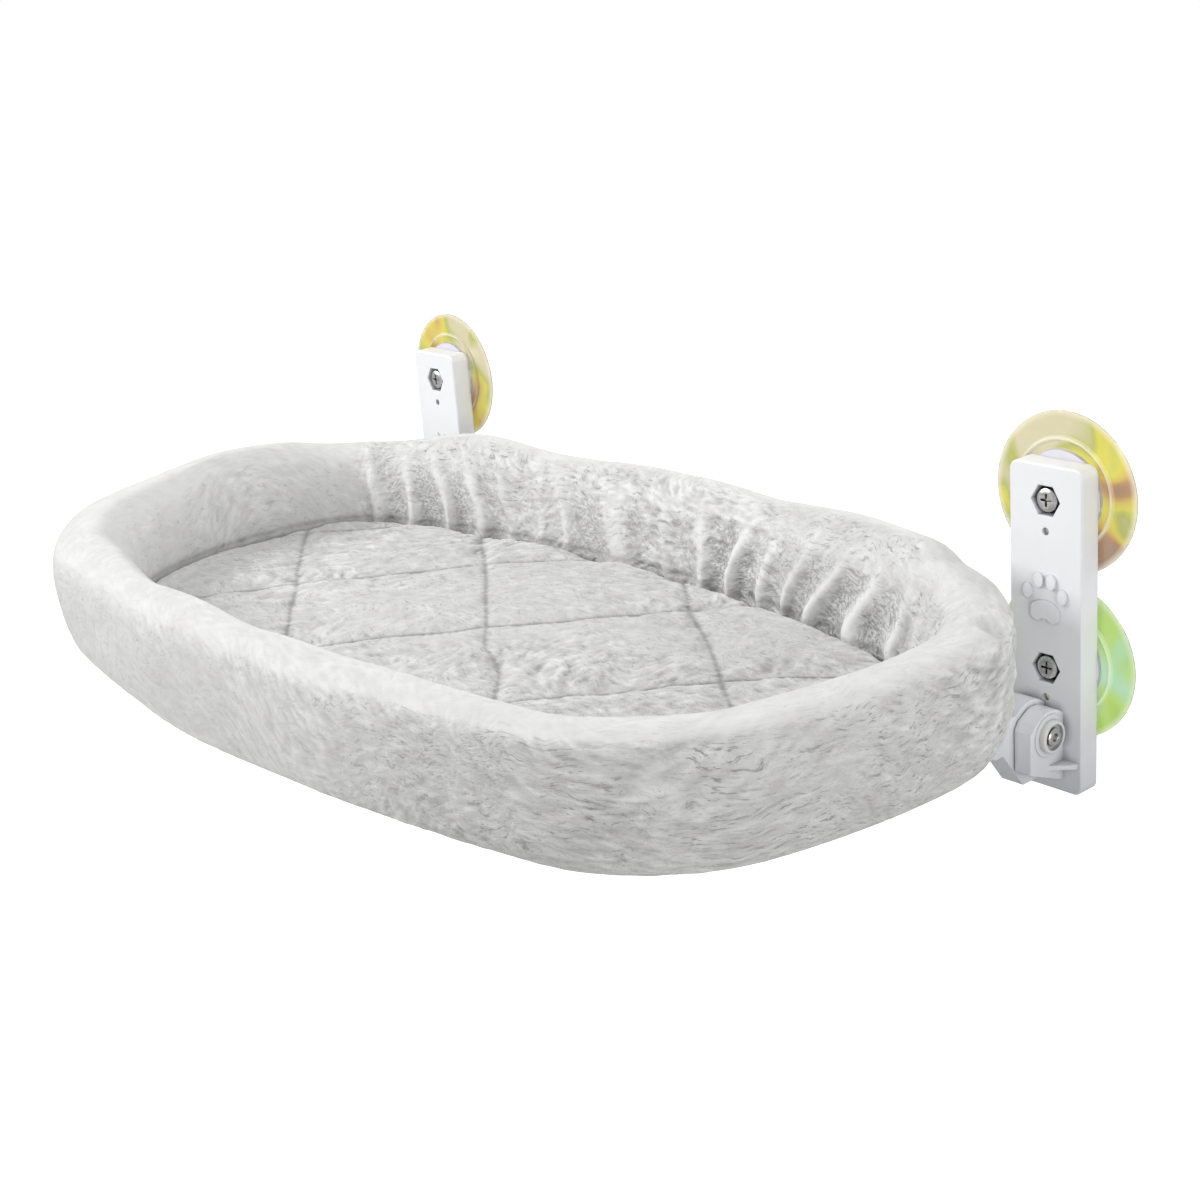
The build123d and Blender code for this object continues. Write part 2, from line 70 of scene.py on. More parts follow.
# The same along the front, where the outer wall stands up to a crisp crest
crisp_section = (
    (-12.5, 3.0), (-15.0, 12.0), (-16.4, 25.5), (-15.8, 39.0), (-13.4, 51.8), (-8.2, 63.5), (1.0, 69.4),
    (11.0, 70.4), (18.6, 69.2), (23.4, 64.6), (24.4, 53.0), (23.6, 35.0), (20.8, 19.5), (16.0, 8.0),
    (8.0, 1.2), (-2.0, 0.4), (-8.5, 0.7),
)

# How far the crest stands up behind and at the left end, and how slack the front left corner is
back_lift = 0.0045
right_lift = 0.0050
left_lift = 0.0038
end_lift = 0.0115
corner_bulge = 0.0038
corner_sag = 0.006

# Gathers down the rear wall, closer together on the left
gather_pitch = 0.0310
gather_tightening = 0.0050
gather_lean = 0.016
ridge_rise = 0.0026
hollow_depth = 0.0022
upright_dent = 0.0030

# Pile: how open it is on the whole, and the seeds of the unevenness of cloth and pile
usual_openness = 0.62
rim_seed = 7
rim_pile_seed = 11
pad_seed = 5
pad_pile_seed = 31

# The pad's edge, foot and quilting, and the net on which its pile is worked out
pad_rounding = 0.005
pad_foot_gap = 0.0004
pad_crown_room = 0.004
pad_net = (640, 320)
pad_net_step = 0.001
pad_net_left = 0.32
pad_net_front = 0.34
pad_sleekness = 0.35
pad_crown = 0.0035
seam_depth = 0.0034
seam_width = 0.0013
pucker_height = 0.0009

# Where the photograph was taken from: place, then yaw, pitch and roll
camera_place = (0.7891, -0.7374, 0.3123)
camera_turn = (radians(50.69), radians(18.91), radians(-4.59))
focal_length = 58.97
film_width = 36
view_depth = 30

# Studio floor, and how brightly floor and room glow where they are seen and where they only light the part
floor_height = -0.42
floor_size = 14
floor_seen_glow = 0.95
floor_glow = 0.06
room_seen_glow = 0.60
room_glow = 0.40

# Soft lights: name, place, what it is aimed at, width and height, watts
studio_lights = (
    ("key", (-1.50, -1.50, 1.10), (0, -0.12, 0), (0.8, 0.8), 35.5),
    ("fill", (2.0, -0.80, 0.28), (0.1, -0.12, 0), (1.0, 0.8), 15),
    ("top", (0.0, -0.2, 1.7), (0, -0.15, 0), (1.4, 1.0), 8),
    ("rear", (0.5, 1.7, 0.6), (0, -0.1, 0), (1.4, 1.0), 12),
)

# Ends of the ramps that blend one tone into another
black = (0, 0, 0)
bright = (1, 1, 1)


def grey(value):
    return (value, value, value)


# Camera

def place_camera():
    yaw, pitch, roll = camera_turn
    look = Vector((-sin(yaw) * cos(pitch), cos(yaw) * cos(pitch), -sin(pitch)))
    level = Vector((cos(yaw), sin(yaw), 0))
    above = level.cross(look)
    right = level * cos(roll) + above * sin(roll)
    up = above * cos(roll) - level * sin(roll)
    lens = bpy.data.cameras.new("camera")
    lens.sensor_width = film_width
    lens.lens = focal_length
    lens.clip_end = view_depth
    camera = bpy.data.objects.new("camera", lens)
    bpy.context.scene.collection.objects.link(camera)
    turn = Matrix((right, up, -look)).transposed().to_4x4()
    camera.matrix_world = Matrix.Translation(camera_place) @ turn
    bpy.context.scene.camera = camera


# Node materials

class Finish:
    """A material under construction: adds nodes, and links or sets their sockets by name."""

    def __init__(self, name):
        self.material = bpy.data.materials.new(name)
        self.material.use_nodes = True
        self.tree = self.material.node_tree
        self.shader = self.tree.nodes["Principled BSDF"]
        self.place = self.add("ShaderNodeTexCoord").outputs["Object"]

    def add(self, kind, settings=None, **sockets):
        node = self.tree.nodes.new(kind)
        for key, value in (settings or {}).items():
            setattr(node, key, value)
        for key, value in sockets.items():
            self.put(node.inputs[key.replace("_", " ")], value)
        return node

    def put(self, socket, value):
        if isinstance(value, bpy.types.NodeSocket):
            self.tree.links.new(value, socket)
        else:
            socket.default_value = value

    def surface(self, **sockets):
        for key, value in sockets.items():
            self.put(self.shader.inputs[key.replace("_", " ")], value)

    def stretched(self, scale, turn=(0, 0, 0), place=None):
        node = self.add("ShaderNodeMapping", Vector=place or self.place, Scale=scale, Rotation=turn)
        return node.outputs["Vector"]

    def noise(self, scale, detail=2.0, roughness=0.5, place=None, distortion=0.0):
        node = self.add("ShaderNodeTexNoise", Vector=place or self.place, Scale=scale, Detail=detail,
                        Roughness=roughness, Distortion=distortion)
        return node.outputs["Fac"]

    def ramp(self, factor, *stops):
        node = self.add("ShaderNodeValToRGB", Fac=factor)
        elements = node.color_ramp.elements
        while len(elements) < len(stops):
            elements.new(0.5)
        for element, (position, colour) in zip(elements, stops):
            element.position = position
            element.color = (*colour, 1) if len(colour) == 3 else colour
        return node.outputs["Color"]

    def mix(self, factor, first, second, blend="MIX"):
        node = self.tree.nodes.new("ShaderNodeMix")
        node.data_type = "RGBA"
        node.blend_type = blend
        self.put(node.inputs[0], factor)
        self.put(node.inputs[6], (*first, 1) if isinstance(first, tuple) else first)
        self.put(node.inputs[7], (*second, 1) if isinstance(second, tuple) else second)
        return node.outputs[2]

    def sum(self, operation, first, second=0.0):
        node = self.add("ShaderNodeMath", {"operation": operation})
        self.put(node.inputs[0], first)
        self.put(node.inputs[1], second)
        return node.outputs[0]

    def worn_edges(self, radius):
        """Shading of edges that are rounded by that much."""
        return self.add("ShaderNodeBevel", {"samples": 4}, Radius=radius).outputs["Normal"]

    def nooks(self, reach, darkest, low, high):
        """Shade that gathers in recesses narrower than that reach, white elsewhere."""
        open_sky = self.add("ShaderNodeAmbientOcclusion", {"samples": 6}, Distance=reach).outputs["AO"]
        return self.ramp(open_sky, (low, darkest), (high, bright))

    def relief(self, height, strength, distance, below=None):
        node = self.add("ShaderNodeBump", Height=height, Strength=strength, Distance=distance)
        if below:
            self.put(node.inputs["Normal"], below)
        return node.outputs["Normal"]


def moulded_white(name, tone, roughness):
    """Satin ABS: faint flow marks in the colour, fine mould texture, handling marks in the gloss, painted
    shade towards the foot and in the recesses.
    """
    finish = Finish(name)
    flow = finish.noise(14, 3, 0.55, finish.stretched((1, 1, 0.4)))
    pale = tuple(min(1.0, value * 1.05) for value in tone)
    # Painted shade: greyer towards the foot, where the bed shades the upright, and in the corners and
    # recesses between parts
    height = finish.add("ShaderNodeSeparateXYZ", Vector=finish.place).outputs["Z"]
    climb = finish.sum("ADD", finish.sum("MULTIPLY", height, 10.0), 1.15)
    painted_foot_shade = finish.ramp(climb, (0.0, (0.66, 0.66, 0.67)), (0.75, bright))
    scuffs = finish.noise(60, 4, 0.6)
    # Painted shade in the recesses and corners, on top of the painted shade at the foot
    painted_shade = finish.mix(1.0, painted_foot_shade, finish.nooks(0.006, (0.55, 0.55, 0.57), 0.30, 0.80), "MULTIPLY")
    finish.surface(
        Base_Color=finish.mix(1.0, finish.ramp(flow, (0.3, tone), (0.7, pale)), painted_shade, "MULTIPLY"),
        Roughness=finish.ramp(scuffs, (0.35, grey(roughness)), (0.75, grey(roughness + 0.14))),
        Normal=finish.relief(finish.noise(1500, 2), 0.12, 0.0002, finish.worn_edges(0.0007)),
    )
    finish.shader.inputs["Subsurface Weight"].default_value = 0.06
    finish.shader.inputs["Subsurface Radius"].default_value = (0.003, 0.003, 0.003)
    return finish.material


def tinted_cup():
    """Clear soft PVC with oily tints: yellow, gold and brown in the upper cups, green in the lower ones."""
    finish = Finish("tinted_pvc")
    parts = finish.add("ShaderNodeSeparateXYZ", Vector=finish.place)
    across = finish.sum("SUBTRACT", finish.sum("ABSOLUTE", parts.outputs["X"]), half_spacing)
    rise = finish.sum("SUBTRACT", finish.sum("ABSOLUTE", parts.outputs["Z"]), cup_height)
    squares = finish.sum("ADD", finish.sum("MULTIPLY", across, across), finish.sum("MULTIPLY", rise, rise))
    radius = finish.sum("MULTIPLY", finish.sum("SQRT", squares), 25.0)
    corner = finish.sum("MULTIPLY", finish.sum("SUBTRACT", across, rise), 3.5)
    toward = finish.sum("ADD", corner, finish.noise(34, 1, 0.5, distortion=0.3))
    beige, olive, yellow = (0.80, 0.74, 0.52), (0.60, 0.62, 0.20), (0.86, 0.80, 0.16)
    gold, rust, brown = (0.84, 0.66, 0.20), (0.62, 0.38, 0.20), (0.50, 0.36, 0.28)
    leaf, lime, aqua = (0.46, 0.66, 0.14), (0.62, 0.84, 0.24), (0.60, 0.88, 0.62)
    warm = finish.ramp(toward, (0.32, beige), (0.43, olive), (0.52, yellow), (0.60, gold), (0.68, rust),
                       (0.76, brown))
    cool = finish.ramp(toward, (0.30, leaf), (0.50, lime), (0.72, aqua))
    upper = finish.sum("GREATER_THAN", parts.outputs["Z"], 0.0)
    body = finish.mix(upper, cool, warm)
    # Painted highlights along the thin moulded ring and the lip
    painted_ring_and_lip_highlights = finish.ramp(radius, (0.652, black), (0.666, bright), (0.684, bright), (0.698, black),
                        (0.92, black), (1.0, grey(0.9)))
    pale = finish.mix(upper, (0.90, 1.0, 0.72), (1.0, 0.95, 0.78))
    tinted = finish.mix(painted_ring_and_lip_highlights, body, pale)
    hub = finish.ramp(radius, (0.54, bright), (0.57, black))
    finish.surface(
        Base_Color=finish.mix(hub, tinted, (0.84, 0.82, 0.88)),
        Normal=finish.relief(finish.noise(90, 3), 0.15, 0.0006),
        Roughness=finish.ramp(finish.noise(40, 3), (0.3, grey(0.08)), (0.7, grey(0.2))),
        Transmission_Weight=0.55,
        IOR=1.46,
    )
    finish.shader.inputs["Coat Weight"].default_value = 0.4
    return finish.material


def worked_metal(name, colour, roughness, metallic=1.0):
    """Turned or plated metal: fine drawn marks, dull patches and painted shade in the recesses."""
    finish = Finish(name)
    marks = finish.noise(900, 3, 0.6, finish.stretched((1, 0.15, 1)))
    dull = tuple(value * 0.72 for value in colour)
    skin = finish.ramp(finish.noise(260, 4, 0.6), (0.3, dull), (0.62, colour))
    # Painted shade: slots, sockets and other recesses darkened almost to black
    finish.surface(
        Base_Color=finish.mix(1.0, skin, finish.nooks(0.0025, (0.06, 0.06, 0.065), 0.30, 0.62), "MULTIPLY"),
        Roughness=finish.ramp(marks, (0.3, grey(roughness)), (0.75, grey(roughness + 0.2))),
        Normal=finish.relief(marks, 0.18, 0.0002, finish.worn_edges(0.0004)),
        Metallic=metallic,
    )
    return finish.material


def coated_tube():
    """Black powder coat: a fine orange-peel skin, a little worn to grey."""
    finish = Finish("black_powder_coat")
    grain = finish.noise(700, 3, 0.5)
    worn = finish.noise(50, 5, 0.65)
    finish.surface(
        Base_Color=finish.ramp(worn, (0.4, (0.012, 0.012, 0.014)), (0.75, (0.035, 0.035, 0.038))),
        Roughness=finish.ramp(grain, (0.3, grey(0.34)), (0.7, grey(0.52))),
        Normal=finish.relief(grain, 0.35, 0.0003),
    )
    return finish.material


def woven_cloth(name, dark, light, thread):
    """Plain weave: two crossed sets of threads, each over and under the other."""
    finish = Finish(name)
    wave = 1 / thread
    warp, weft = [
        finish.add("ShaderNodeTexWave", {"wave_profile": "SIN", "bands_direction": direction},
                   Vector=finish.place, Scale=wave / 20, Distortion=0.4, Detail=1.0).outputs["Color"]
        for direction in ("X", "Y")
    ]
    checks = finish.add("ShaderNodeTexChecker", Vector=finish.place, Scale=wave)
    over = finish.mix(checks.outputs["Fac"], warp, weft)
    fuzz = finish.noise(wave * 1.5, 3)
    tint = finish.mix(0.35, over, finish.ramp(fuzz, (0.3, black), (0.7, bright)))
    finish.surface(
        Base_Color=finish.ramp(tint, (0.15, dark), (0.85, light)),
        Normal=finish.relief(over, 0.6, thread * 0.5),
        Roughness=0.9,
    )
    finish.shader.inputs["Sheen Weight"].default_value = 0.2
    return finish.material


def plush_pile():
    """Short faux fur: combed strands along the cloth, painted shade between the tufts, painted highlights on
    the strands, soft sheen at the edges.
    """
    finish = Finish("grey_plush")
    cloth = finish.add("ShaderNodeUVMap", {"uv_map": "cloth"}).outputs["UV"]
    pile = finish.add("ShaderNodeAttribute", {"attribute_name": "pile"}).outputs["Fac"]
    sleek = finish.add("ShaderNodeAttribute", {"attribute_name": "sleek"}).outputs["Fac"]
    bend = finish.add("ShaderNodeTexNoise", Vector=cloth, Scale=24, Detail=3.0)
    swirled = finish.mix(0.034, cloth, bend.outputs["Color"])
    strands = finish.noise(1, 3, 0.6, finish.stretched((125, 560, 1), place=swirled))
    crossed = finish.noise(1, 3, 0.6, finish.stretched((150, 520, 1), (0, 0, 1.2), swirled))
    fine = finish.noise(1, 2, 0.6, finish.stretched((420, 2000, 1), place=swirled))
    turned = finish.ramp(finish.noise(52, 2, 0.5, cloth), (0.46, black), (0.54, bright))
    lie = finish.mix(turned, strands, crossed)
    height = finish.sum("ADD", finish.sum("MULTIPLY", lie, 0.65), finish.sum("MULTIPLY", fine, 0.35))
    # Painted light and shade from the pile attribute: darker where it is low, lighter where it is high
    shade = finish.ramp(pile, (0.0, (0.30, 0.295, 0.30)), (0.35, (0.56, 0.555, 0.55)),
                        (0.75, (0.735, 0.732, 0.725)), (1.0, (0.86, 0.862, 0.865)))
    # Painted shade in the partings between the strands: few, thin and in patches, none where the pile lies
    # sleek, and short and crowded where it stands up woolly
    smooth = finish.sum("MAXIMUM", sleek, 0.0)
    woolly = finish.sum("MAXIMUM", finish.sum("MULTIPLY", sleek, -1.3), 0.0)
    patches = finish.ramp(finish.noise(38, 3, 0.6, cloth), (0.40, grey(0.25)), (0.56, bright))
    parted = finish.sum("MULTIPLY", finish.ramp(height, (0.405, bright), (0.46, black)), patches)
    specks = finish.noise(1, 3, 0.7, finish.stretched((400, 720, 1), (0, 0, 0.5), swirled))
    crowded = finish.sum("MULTIPLY", finish.ramp(specks, (0.45, bright), (0.52, black)), woolly)
    rough = finish.sum("SUBTRACT", 1.0, finish.sum("MULTIPLY", smooth, 0.85))
    streaks = finish.sum("MULTIPLY", finish.sum("MULTIPLY", parted, rough), 0.78)
    dark = finish.sum("MAXIMUM", streaks, finish.sum("MULTIPLY", crowded, 0.85))
    mottle = finish.ramp(finish.noise(60, 3, 0.6, cloth), (0.3, (0.93, 0.92, 0.92)),
                         (0.5, (0.97, 0.975, 0.965)), (0.65, bright))
    # Painted highlights on the raised strands
    painted_strand_highlights = finish.sum("MULTIPLY", finish.ramp(height, (0.53, black), (0.66, bright)),
                      finish.sum("MULTIPLY", rough, 0.4))
    lit = finish.mix(painted_strand_highlights, finish.mix(1.0, shade, mottle, "MULTIPLY"), (0.93, 0.93, 0.925))
    haired = finish.mix(dark, lit, (0.26, 0.255, 0.27))
    clumps = finish.noise(110, 3, 0.55, cloth, 0.8)
    tangled = finish.sum("ADD", finish.mix(woolly, height, specks), finish.sum("MULTIPLY", clumps, 2.2))
    finish.surface(
        Base_Color=haired,
        Normal=finish.relief(tangled, finish.sum("MULTIPLY", rough, 0.8), 0.0012),
        Roughness=0.92,
    )
    finish.shader.inputs["Sheen Weight"].default_value = 0.45
    finish.shader.inputs["Sheen Roughness"].default_value = 0.45
    finish.shader.inputs["Specular IOR Level"].default_value = 0.15
    return finish.material


# Plush bed

def oval_arcs():
    """The rim's oval as tangent arcs, counter-clockwise: centre x and y, radius, start and sweep."""
    rear_rise = rim_middle_depth - rim_rear_depth
    rear_radius = (rim_half_length**2 + rear_rise**2 - 2 * rim_half_length * rear_corner) / (
        2 * (rear_rise - rear_corner)
    )
    rear_x = rim_half_length - rear_corner
    rear_turn = degrees(atan2(rear_radius - rear_rise, rear_x))
    front_y = front_sweep_radius - rim_front_depth
    end_x = rim_half_length - end_sweep_radius
    reach_front = front_sweep_radius - front_corner
    reach_end = end_sweep_radius - front_corner
    span = hypot(end_x, front_y + rim_middle_depth)
    along = (reach_end**2 - reach_front**2 + span**2) / (2 * span)
    across = sqrt(reach_end**2 - along**2)
    unit_x = -end_x / span
    unit_y = (front_y + rim_middle_depth) / span
    corner_x = end_x + along * unit_x + across * unit_y
    corner_y = -rim_middle_depth + along * unit_y - across * unit_x
    end_turn = degrees(atan2(-rim_middle_depth - corner_y, corner_x - end_x))
    front_turn = degrees(atan2(front_y - corner_y, corner_x))
    middle = -rim_middle_depth
    return [
        (rear_x, middle, rear_corner, 0.0, rear_turn),
        (0.0, -rim_rear_depth - rear_radius, rear_radius, rear_turn, 180 - 2 * rear_turn),
        (-rear_x, middle, rear_corner, 180 - rear_turn, rear_turn),
        (-end_x, middle, end_sweep_radius, 180.0, end_turn),
        (-corner_x, corner_y, front_corner, 180 + end_turn, front_turn - end_turn),
        (0.0, front_y, front_sweep_radius, 180 + front_turn, 180 - 2 * front_turn),
        (corner_x, corner_y, front_corner, 360 - front_turn, front_turn - end_turn),
        (end_x, middle, end_sweep_radius, 360 - end_turn, end_turn),
    ]


def oval_line(count):
    """Evenly spaced points along the oval from its right end, with their outward directions and distances."""
    arcs = oval_arcs()
    lengths = np.array([radius * radians(sweep) for _, _, radius, _, sweep in arcs])
    ends = np.concatenate([[0.0], np.cumsum(lengths)])
    walk = np.arange(count) / count * ends[-1]
    index = np.clip(np.searchsorted(ends, walk, side="right") - 1, 0, len(arcs) - 1)
    table = np.array(arcs)[index]
    turn = np.radians(table[:, 3]) + (walk - ends[index]) / table[:, 2]
    outward = np.stack([np.cos(turn), np.sin(turn)], axis=1)
    return table[:, :2] + outward * table[:, 2:3], outward, walk, ends[-1]


def smooth_loop(points, count):
    """A closed smooth curve through the given points, evenly spaced."""
    points = np.array(points, float)
    rolled = [np.roll(points, shift, axis=0) for shift in (1, 0, -1, -2)]
    steps = np.linspace(0, 1, 40, endpoint=False)[:, None, None]
    a, b, c, d = rolled
    dense = 0.5 * (
        2 * b + (c - a) * steps + (2 * a - 5 * b + 4 * c - d) * steps**2 + (3 * b - a - 3 * c + d) * steps**3
    )
    dense = dense.transpose(1, 0, 2).reshape(-1, 2)
    closed = np.vstack([dense, dense[:1]])
    travel = np.concatenate([[0], np.cumsum(np.hypot(*np.diff(closed, axis=0).T))])
    wanted = np.arange(count) / count * travel[-1]
    return np.stack([np.interp(wanted, travel, closed[:, axis]) for axis in (0, 1)], axis=1), travel[-1]


def wrapped_blur(field, rows, columns):
    """Gaussian blur of a field that wraps both ways, by its spectrum."""
    row_wave = np.fft.fftfreq(field.shape[0])[:, None]
    column_wave = np.fft.fftfreq(field.shape[1])[None, :]
    gain = np.exp(-2 * (pi * rows * row_wave) ** 2 - 2 * (pi * columns * column_wave) ** 2)
    blurred = np.real(np.fft.ifft2(np.fft.fft2(field) * gain))
    return blurred / blurred.std()


def combed(seed, shape, step, width, length, lean, swirl):
    """Tufts of pile on a wrapping grid: noise drawn out along a wandering direction, from about -2 to 2."""
    rng = np.random.default_rng(seed)
    grain = wrapped_blur(rng.standard_normal(shape), width / step, width / step)
    wander = wrapped_blur(rng.standard_normal(shape), 0.022 / step, 0.022 / step)
    angle = lean + swirl * wander
    run, rise = np.cos(angle), np.sin(angle)
    rows, columns = np.indices(shape, dtype=float)
    total = np.zeros(shape)
    reach = int(length / step / 2)
    for side in (1, -1):
        row, column = rows.copy(), columns.copy()
        for _ in range(reach):
            i = np.rint(row).astype(int) % shape[0]
            j = np.rint(column).astype(int) % shape[1]
            total += grain[i, j]
            row += side * run[i, j]
            column += side * rise[i, j]
    return total / total.std()


def tufts(seed, shape, step, lean, swirl):
    """Height of the pile over the backing, in metres, and how open it is, from 0 in the partings to 1."""
    coarse = combed(seed, shape, step, 0.0015, 0.012, lean, swirl)
    fine = combed(seed + 1, shape, step, 0.0006, 0.008, lean, swirl)
    lumps, patches = [
        wrapped_blur(np.random.default_rng(seed + extra).standard_normal(shape), width / step, width / step)
        for extra, width in ((2, 0.005), (3, 0.03))
    ]
    thick = 0.6 + 0.7 * gentle(patches, -1, 1)
    height = (0.00012 * coarse + 0.00022 * fine) * thick + 0.00016 * lumps
    openness = usual_openness + (0.07 * coarse + 0.12 * fine) * thick
    return height, np.clip(openness, 0, 1)


def paint(piece, name, values):
    layer = piece.data.attributes.new(name, "FLOAT", "POINT")
    layer.data.foreach_set("value", np.ascontiguousarray(values, dtype=np.float32).ravel())


def lay_cloth(piece, spread):
    """The way the cloth lies on the piece, in metres, one place for each point."""
    for layer in list(piece.data.uv_layers):
        piece.data.uv_layers.remove(layer)
    cloth = piece.data.uv_layers.new(name="cloth")
    corners = np.empty(len(piece.data.loops), dtype=np.int32)
    piece.data.loops.foreach_get("vertex_index", corners)
    cloth.data.foreach_set("uv", np.ascontiguousarray(spread[corners], dtype=np.float32).ravel())


def points_of(piece):
    places = np.empty(len(piece.data.vertices) * 3)
    piece.data.vertices.foreach_get("co", places)
    return places.reshape(-1, 3)


def move_points(piece, places):
    piece.data.vertices.foreach_set("co", np.ascontiguousarray(places, dtype=np.float32).ravel())
    piece.data.update()


def gentle(value, low, high):
    """0 below low, 1 above high, smooth between."""
    t = np.clip((value - low) / (high - low), 0, 1)
    return t * t * (3 - 2 * t)


def hump(value, middle, width):
    """1 at the middle, falling away on both sides like a bell."""
    return np.exp(-(((value - middle) / width) ** 2))


def rim_profile(x, y):
    """The rim's section round the oval: distance outward, height, the way its skin faces, and its length."""
    rolled, lap = smooth_loop([(n / 1000, z / 1000) for n, z in soft_section], rim_over)
    squared, _ = smooth_loop([(n / 1000, z / 1000) for n, z in crisp_section], rim_over)
    crisp = (gentle(-y, 0.100, 0.128) * gentle(x, -0.04, 0.16))[:, :, None]
    section = rolled[None] * (1 - crisp) + squared[None] * crisp
    ahead = np.roll(section, -1, axis=1) - np.roll(section, 1, axis=1)
    ahead /= np.linalg.norm(ahead, axis=2)[:, :, None]
    face_out, face_up = -ahead[:, :, 1], ahead[:, :, 0]
    n, z = section[:, :, 0], section[:, :, 1]
    # The back rest stands higher than the front, most of all near its right end, and so does the left end
    back_rest = back_lift * gentle(x, -0.12, 0.02) + right_lift * hump(x, 0.165, 0.050)
    back_rest = back_rest * (1 - 0.7 * gentle(x, 0.185, 0.225)) + left_lift * hump(x, -0.165, 0.038)
    left_end = end_lift * hump(y, -0.165, 0.050) * gentle(-x, 0.20, 0.25)
    climb = gentle(z, 0.018, 0.070)
    z = z + (back_rest * gentle(y, -0.150, -0.060) + left_end) * climb
    # The front left corner bulges and sags
    n = n + corner_bulge * gentle(-x, 0.12, 0.20) * gentle(-y, 0.20, 0.26) * gentle(face_out, 0, 0.8)
    slack = hump(x, -0.08, 0.09) * gentle(-y, 0.24, 0.29) * gentle(n, 0, 0.016)
    z = z - corner_sag * slack * (1 - climb)
    return n, z, face_out, face_up, lap


def gather(x, y, z, inside, crest, step, rng):
    """Gathers: where the ridges are, how strong, where the cloth is gathered, and how far it swells."""
    grid = (rim_around, rim_over)
    uneven = wrapped_blur(rng.standard_normal(grid), 0.030 / step, 34)
    wavering = wrapped_blur(rng.standard_normal(grid), 0.009 / step, 9)
    strength = 1 + 0.35 * wrapped_blur(rng.standard_normal(grid), 0.018 / step, 60)
    pitch = gather_pitch - gather_tightening * gentle(-x, -0.03, 0.17)
    outwards = np.sign(x) * gather_lean * gentle(np.abs(x), 0.01, 0.10) * gentle(z, 0.026, 0.074)
    phase = np.cumsum(step / pitch, axis=0) + (0.0065 * uneven + 0.0022 * wavering + outwards) / pitch
    along = np.mod(phase, 1)
    ridges = np.exp(-((np.abs(along - 0.5) / 0.165) ** 2.4))
    hollows = 0.5 - 0.5 * np.cos(2 * pi * along)
    gathered = gentle(y, -0.150, -0.098) * gentle(x, -0.250, -0.236) * (1 - gentle(x, 0.196, 0.226)) * inside
    strong = gathered * (1 - 0.75 * crest) * np.clip(strength, 0.3, 1.6)
    strong = strong * (1 - 0.35 * gentle(-x, 0.05, 0.17))
    scallop = 1 + 0.5 * hump(z, 0.034, 0.009)
    swell = (ridge_rise * ridges + hollow_depth * (hollows - 0.5)) * strong * scallop
    return ridges, strong, gathered, swell


